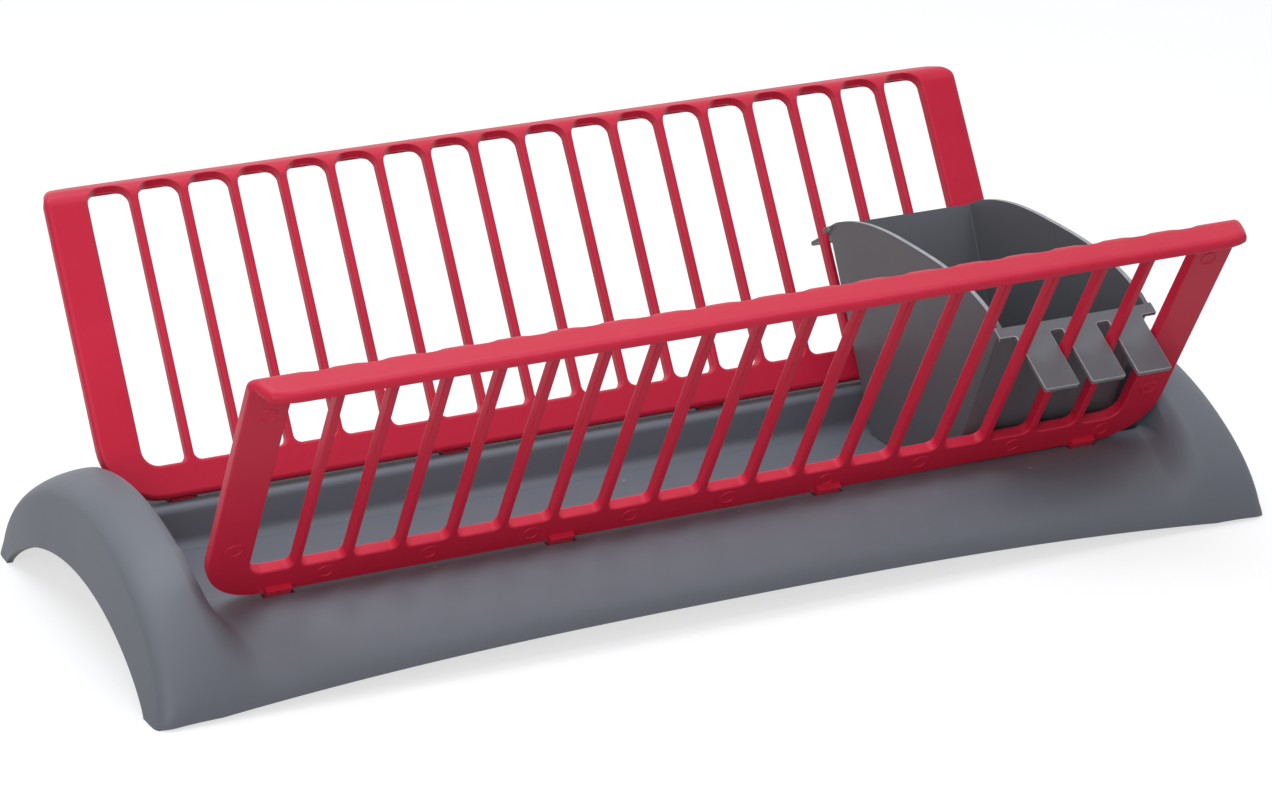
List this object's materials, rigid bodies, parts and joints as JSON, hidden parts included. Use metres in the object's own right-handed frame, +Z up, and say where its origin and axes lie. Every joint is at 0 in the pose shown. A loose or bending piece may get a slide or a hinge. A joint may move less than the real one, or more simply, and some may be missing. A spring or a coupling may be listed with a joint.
{
  "type": "draining rack",
  "caption": "Draining rack: a moulded stand with a drip tray, two slotted racks leaning apart in a V to hold plates on edge, and a lift-out cutlery holder hooked between them.",
  "frame": {"origin": "middle of the footprint, on the surface that the stand rests on", "axes": "+X along the length, towards the cutlery holder's end; -Y to the front; +Z up"},
  "size_m": [0.498, 0.2688, 0.1444],
  "materials": {
    "stand_grey": "fine satin moulded surface",
    "rack_red": "semi-gloss moulded surface",
    "holder_grey": "satin moulded surface, paler along its edges"
  },
  "bodies": {
    "stand": {"base": "stand_grey"},
    "front_rack": {"rack_front": "rack_red"},
    "back_rack": {"rack_back": "rack_red"},
    "holder": {"cutlery_holder": "holder_grey"}
  },
  "joints": [
    {"name": "front_rack_lift", "type": "slide", "parent": "stand", "child": "front_rack", "axis": [0, -0.515, 0.8572], "range_m": [0, 0.04]},
    {"name": "back_rack_lift", "type": "slide", "parent": "stand", "child": "back_rack", "axis": [0, 0.515, 0.8572], "range_m": [0, 0.04]},
    {"name": "holder_lift", "type": "slide", "parent": "stand", "child": "holder", "axis": [0, 0, 1], "range_m": [0, 0.15]}
  ]
}
